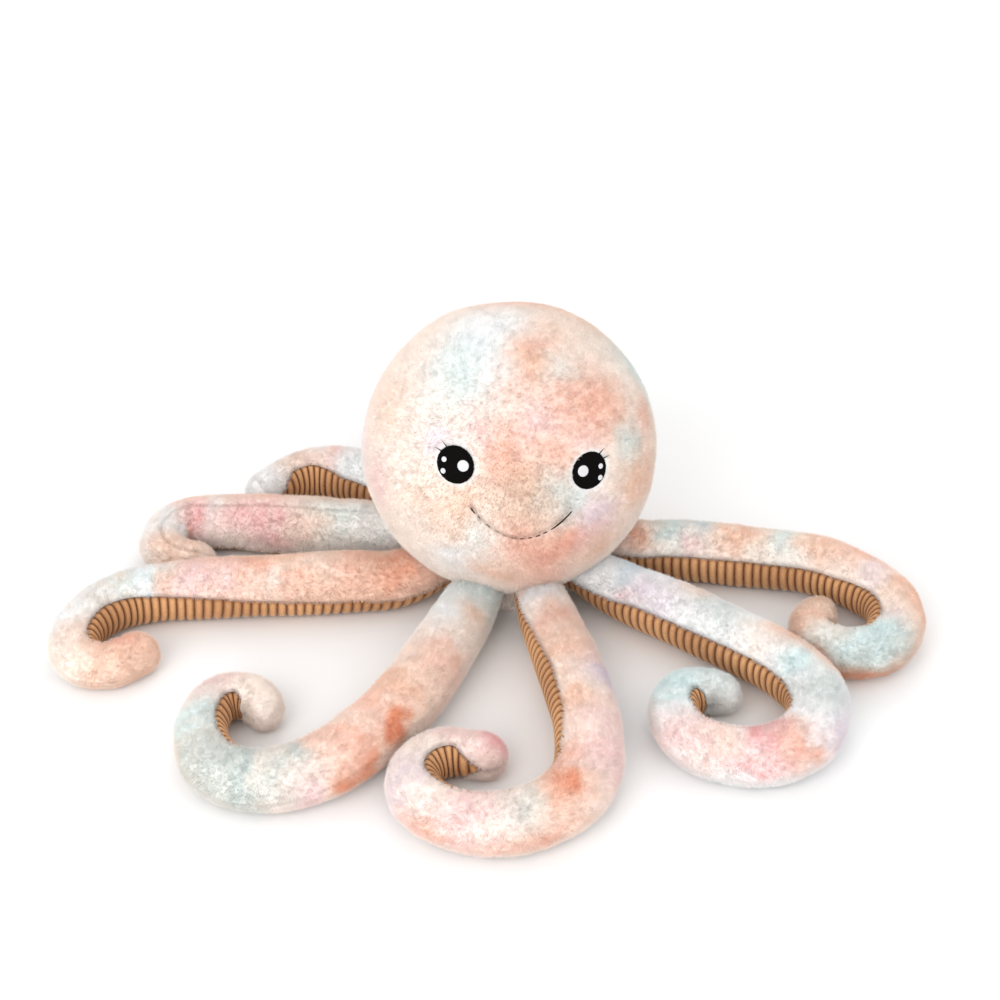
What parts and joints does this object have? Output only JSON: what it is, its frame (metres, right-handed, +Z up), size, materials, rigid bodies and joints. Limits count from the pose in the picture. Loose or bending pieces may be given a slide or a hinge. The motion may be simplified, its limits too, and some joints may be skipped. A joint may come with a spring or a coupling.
{
  "type": "plush octopus toy",
  "caption": "Giant stuffed octopus with a ball head, stitched face and long curled arms of soft fur with ribbed corduroy undersides.",
  "frame": {"origin": "centre of the base panel, on the floor", "axes": "+Z up, the face looks towards -Y, +X is to the right as a viewer faces the toy"},
  "size_m": [1.1013, 1.0295, 0.376],
  "materials": {
    "plush_fur": "short clumped plush pile, pastel tie-dye",
    "ribbed_corduroy": "wide-wale corduroy",
    "fibre_filling": "loose polyester fibre",
    "black_felt": "dense satin-stitch embroidery",
    "white_thread": "satin-stitch embroidery",
    "black_thread": "twisted embroidery thread"
  },
  "bodies": {
    "head": {"head_front_cover": "plush_fur", "head_back_cover": "plush_fur", "head_stuffing": "fibre_filling", "base_panel": "ribbed_corduroy", "eye_left": "black_felt", "eye_right": "black_felt", "eye_glints_left": "white_thread", "eye_glints_right": "white_thread", "eyelashes": "black_thread", "mouth_stitching": "black_thread"},
    "rear_left_arm_root": {"rear_left_arm_root_cover": "plush_fur", "rear_left_arm_root_underside": "ribbed_corduroy", "rear_left_arm_root_stuffing": "fibre_filling"},
    "rear_left_arm_tip": {"rear_left_arm_tip_cover": "plush_fur", "rear_left_arm_tip_underside": "ribbed_corduroy", "rear_left_arm_tip_stuffing": "fibre_filling"},
    "left_rear_arm_root": {"left_rear_arm_root_cover": "plush_fur", "left_rear_arm_root_underside": "ribbed_corduroy", "left_rear_arm_root_stuffing": "fibre_filling"},
    "left_rear_arm_tip": {"left_rear_arm_tip_cover": "plush_fur", "left_rear_arm_tip_underside": "ribbed_corduroy", "left_rear_arm_tip_stuffing": "fibre_filling"},
    "left_front_arm_root": {"left_front_arm_root_cover": "plush_fur", "left_front_arm_root_underside": "ribbed_corduroy", "left_front_arm_root_stuffing": "fibre_filling"},
    "left_front_arm_tip": {"left_front_arm_tip_cover": "plush_fur", "left_front_arm_tip_underside": "ribbed_corduroy", "left_front_arm_tip_stuffing": "fibre_filling"},
    "front_left_arm_root": {"front_left_arm_root_cover": "plush_fur", "front_left_arm_root_underside": "ribbed_corduroy", "front_left_arm_root_stuffing": "fibre_filling"},
    "front_left_arm_tip": {"front_left_arm_tip_cover": "plush_fur", "front_left_arm_tip_underside": "ribbed_corduroy", "front_left_arm_tip_stuffing": "fibre_filling"},
    "front_right_arm_root": {"front_right_arm_root_cover": "plush_fur", "front_right_arm_root_underside": "ribbed_corduroy", "front_right_arm_root_stuffing": "fibre_filling"},
    "front_right_arm_tip": {"front_right_arm_tip_cover": "plush_fur", "front_right_arm_tip_underside": "ribbed_corduroy", "front_right_arm_tip_stuffing": "fibre_filling"},
    "right_front_arm_root": {"right_front_arm_root_cover": "plush_fur", "right_front_arm_root_underside": "ribbed_corduroy", "right_front_arm_root_stuffing": "fibre_filling"},
    "right_front_arm_tip": {"right_front_arm_tip_cover": "plush_fur", "right_front_arm_tip_underside": "ribbed_corduroy", "right_front_arm_tip_stuffing": "fibre_filling"},
    "right_rear_arm_root": {"right_rear_arm_root_cover": "plush_fur", "right_rear_arm_root_underside": "ribbed_corduroy", "right_rear_arm_root_stuffing": "fibre_filling"},
    "right_rear_arm_tip": {"right_rear_arm_tip_cover": "plush_fur", "right_rear_arm_tip_underside": "ribbed_corduroy", "right_rear_arm_tip_stuffing": "fibre_filling"},
    "rear_right_arm_root": {"rear_right_arm_root_cover": "plush_fur", "rear_right_arm_root_underside": "ribbed_corduroy", "rear_right_arm_root_stuffing": "fibre_filling"},
    "rear_right_arm_tip": {"rear_right_arm_tip_cover": "plush_fur", "rear_right_arm_tip_underside": "ribbed_corduroy", "rear_right_arm_tip_stuffing": "fibre_filling"}
  },
  "joints": [
    {"name": "rear_left_arm_lift", "type": "hinge", "parent": "head", "child": "rear_left_arm_root", "pos_m": [-0.103, 0.11849, 0.084], "axis": [0.7547, 0.6561, 0], "range_deg": [0, 40]},
    {"name": "rear_left_arm_curl_raise", "type": "hinge", "parent": "rear_left_arm_root", "child": "rear_left_arm_tip", "pos_m": [-0.21859, 0.19491, 0.03782], "axis": [-0.8968, 0.4424, 0], "range_deg": [0, 50]},
    {"name": "left_rear_arm_lift", "type": "hinge", "parent": "head", "child": "left_rear_arm_root", "pos_m": [-0.15234, 0.03798, 0.084], "axis": [0.2419, 0.9703, 0], "range_deg": [0, 40]},
    {"name": "left_rear_arm_curl_raise", "type": "hinge", "parent": "left_rear_arm_root", "child": "left_rear_arm_tip", "pos_m": [-0.37444, 0.08719, 0.0376], "axis": [-0.9865, 0.1635, 0], "range_deg": [0, 50]},
    {"name": "left_front_arm_lift", "type": "hinge", "parent": "head", "child": "left_front_arm_root", "pos_m": [-0.13989, -0.07128, 0.084], "axis": [-0.454, 0.891, 0], "range_deg": [0, 40]},
    {"name": "left_front_arm_curl_raise", "type": "hinge", "parent": "left_front_arm_root", "child": "left_front_arm_tip", "pos_m": [-0.4184, -0.0657, 0.03892], "axis": [-0.9987, 0.0519, 0], "range_deg": [0, 50]},
    {"name": "front_left_arm_lift", "type": "hinge", "parent": "head", "child": "front_left_arm_root", "pos_m": [-0.06759, -0.14171, 0.084], "axis": [-0.9026, 0.4305, 0], "range_deg": [0, 40]},
    {"name": "front_left_arm_curl_raise", "type": "hinge", "parent": "front_left_arm_root", "child": "front_left_arm_tip", "pos_m": [-0.23798, -0.4062, 0.03901], "axis": [0.773, 0.6344, 0], "range_deg": [0, 50]},
    {"name": "front_right_arm_lift", "type": "hinge", "parent": "head", "child": "front_right_arm_root", "pos_m": [0.0313, -0.15385, 0.084], "axis": [-0.9799, -0.1994, 0], "range_deg": [0, 40]},
    {"name": "front_right_arm_curl_raise", "type": "hinge", "parent": "front_right_arm_root", "child": "front_right_arm_tip", "pos_m": [0.04654, -0.4303, 0.03986], "axis": [0.1658, 0.9862, 0], "range_deg": [0, 50]},
    {"name": "right_front_arm_lift", "type": "hinge", "parent": "head", "child": "right_front_arm_root", "pos_m": [0.11482, -0.10707, 0.084], "axis": [-0.682, -0.7314, 0], "range_deg": [0, 40]},
    {"name": "right_front_arm_curl_raise", "type": "hinge", "parent": "right_front_arm_root", "child": "right_front_arm_tip", "pos_m": [0.31707, -0.31673, 0.03981], "axis": [-0.4474, 0.8943, 0], "range_deg": [0, 50]},
    {"name": "right_rear_arm_lift", "type": "hinge", "parent": "head", "child": "right_rear_arm_root", "pos_m": [0.15547, -0.02185, 0.084], "axis": [-0.1392, -0.9903, 0], "range_deg": [0, 40]},
    {"name": "right_rear_arm_curl_raise", "type": "hinge", "parent": "right_rear_arm_root", "child": "right_rear_arm_tip", "pos_m": [0.42531, -0.11638, 0.03896], "axis": [-0.7525, 0.6586, 0], "range_deg": [0, 50]},
    {"name": "rear_right_arm_lift", "type": "hinge", "parent": "head", "child": "rear_right_arm_root", "pos_m": [0.0785, 0.13597, 0.084], "axis": [0.866, -0.5, 0], "range_deg": [0, 40]},
    {"name": "rear_right_arm_curl_raise", "type": "hinge", "parent": "rear_right_arm_root", "child": "rear_right_arm_tip", "pos_m": [0.04899, 0.38191, 0.03984], "axis": [-0.6088, 0.7934, 0], "range_deg": [0, 50]}
  ]
}
